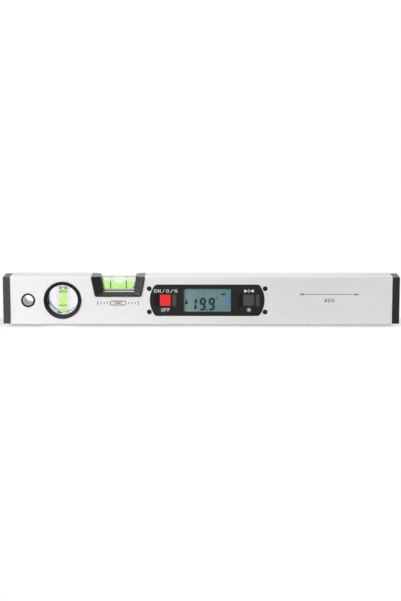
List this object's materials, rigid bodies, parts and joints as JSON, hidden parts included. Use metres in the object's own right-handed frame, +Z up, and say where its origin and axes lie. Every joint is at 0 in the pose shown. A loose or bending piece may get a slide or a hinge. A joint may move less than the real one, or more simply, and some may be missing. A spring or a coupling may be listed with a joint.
{
  "type": "digital spirit level",
  "caption": "Digital spirit level: aluminium box section with black end caps, hanging hole, round plumb vial, notched top vial, and an angle display with push buttons.",
  "frame": {"origin": "middle of the base face", "axes": "+X along the level to its right end as seen from the display, +Y to the back, +Z up"},
  "size_m": [0.4, 0.0296, 0.048],
  "materials": {
    "anodised_aluminium": "satin, fine lengthwise grain",
    "bright_tube": "bright turned",
    "black_moulding": "fine moulded grain",
    "cap_moulding": "fine moulded grain",
    "soft_grommet": "smooth",
    "pale_moulding": "satin, milky",
    "clear_acrylic": "polished",
    "vial_liquid": "clear yellow green",
    "air_bubble": "clear",
    "vial_line": "printed",
    "panel_moulding": "satin black",
    "window_lens": "polished",
    "lcd_pane": "grey green",
    "light_guide": "milky",
    "strip_rubber": "striped",
    "board_laminate": "solder mask",
    "sensor_can": "tinned",
    "chip_package": "moulded",
    "black_screw": "black oxide",
    "bright_screw": "zinc plated",
    "red_button": "satin",
    "grey_button": "satin",
    "switch_body": "moulded",
    "contact_metal": "nickel plated",
    "cell_jacket": "printed sleeve"
  },
  "bodies": {
    "level": {"level_body": "anodised_aluminium", "left_end_cap": "cap_moulding", "right_end_cap": "cap_moulding", "hanger_sleeve": "bright_tube", "hanger_grommet_front": "soft_grommet", "hanger_grommet_rear": "soft_grommet", "plumb_bezel_front": "black_moulding", "plumb_bezel_rear": "black_moulding", "plumb_holder": "pale_moulding", "plumb_vial_block": "clear_acrylic", "plumb_vial_lines": "vial_line", "plumb_vial_plug": "pale_moulding", "plumb_vial_liquid": "vial_liquid", "top_vial_frame": "black_moulding", "top_vial_pad": "pale_moulding", "top_vial_block": "clear_acrylic", "top_vial_lines": "vial_line", "top_vial_plug": "pale_moulding", "top_vial_liquid": "vial_liquid", "display_bezel": "panel_moulding", "panel_screws": "black_screw", "display_lens": "window_lens", "lcd_glass": "lcd_pane", "lcd_backlight": "light_guide", "contact_strips": "strip_rubber", "circuit_board": "board_laminate", "tilt_sensor": "sensor_can", "controller_chip": "chip_package", "board_screws": "bright_screw", "power_switch": "switch_body", "hold_switch": "switch_body", "battery_tray": "black_moulding", "tray_screws": "black_screw", "battery_cell_upper": "cell_jacket", "battery_cell_lower": "cell_jacket", "battery_terminals": "contact_metal", "battery_link": "contact_metal"},
    "power_key": {"power_button": "red_button", "power_plunger": "switch_body"},
    "hold_key": {"hold_button": "grey_button", "hold_plunger": "switch_body"},
    "top_vial_bubble": {"top_bubble": "air_bubble"},
    "plumb_vial_bubble": {"plumb_bubble": "air_bubble"},
    "rear_door": {"battery_door": "black_moulding"}
  },
  "joints": [
    {"name": "power_button_press", "type": "slide", "parent": "level", "child": "power_key", "axis": [0, 1, 0], "range_m": [0, 0.0006], "stiffness_N_per_m": 60, "springref_m": -0.002},
    {"name": "hold_button_press", "type": "slide", "parent": "level", "child": "hold_key", "axis": [0, 1, 0], "range_m": [0, 0.0006], "stiffness_N_per_m": 60, "springref_m": -0.002},
    {"name": "top_bubble_travel", "type": "slide", "parent": "level", "child": "top_vial_bubble", "axis": [1, 0, 0], "range_m": [-0.00959, 0.00739], "stiffness_N_per_m": 0.5, "deforming": ["top_vial_liquid"]},
    {"name": "plumb_bubble_travel", "type": "slide", "parent": "level", "child": "plumb_vial_bubble", "axis": [0, 0, 1], "range_m": [-0.02095, 0], "stiffness_N_per_m": 0.5, "springref_m": 0.03, "deforming": ["plumb_vial_liquid"]},
    {"name": "battery_door_swing", "type": "hinge", "parent": "level", "child": "rear_door", "pos_m": [-0.02134, 0.0132, 0.024], "axis": [0, 0, 1], "range_deg": [0, 75]}
  ]
}
